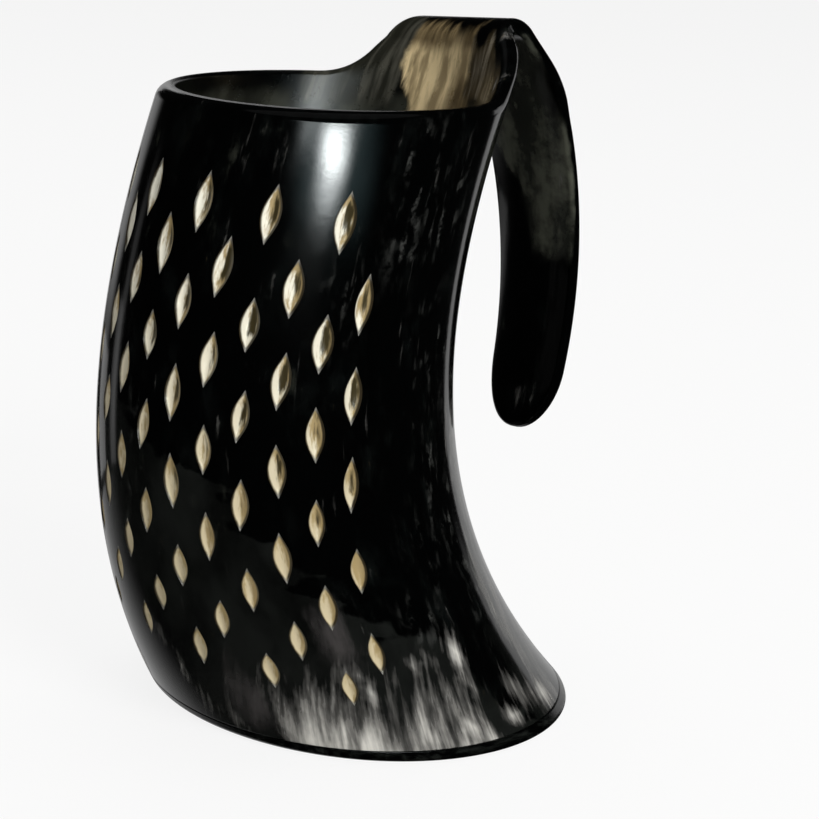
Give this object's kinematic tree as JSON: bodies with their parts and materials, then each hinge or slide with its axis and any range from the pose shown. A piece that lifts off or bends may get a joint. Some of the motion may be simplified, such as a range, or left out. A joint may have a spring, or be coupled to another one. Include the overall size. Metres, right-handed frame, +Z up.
{
  "type": "horn drinking cup",
  "caption": "Tall curved horn drinking cup with a flared oval foot, round mouth, carved lens notches and an open strap handle bent down from the rim.",
  "frame": {"origin": "centre of the base plate's underside, where the cup stands", "axes": "+Z up, +X from the cup's foot towards the handle, Y across; the wall is symmetric about the XZ plane, and the handle is bent in it"},
  "size_m": [0.1246, 0.1114, 0.1622],
  "materials": {
    "horn": "polished black horn with lighter streaks",
    "plate_horn": "polished black horn",
    "sealant": "clear amber resin"
  },
  "bodies": {
    "root": {"horn_body": "horn", "base_plate": "plate_horn", "seal_bead": "sealant"}
  },
  "joints": []
}
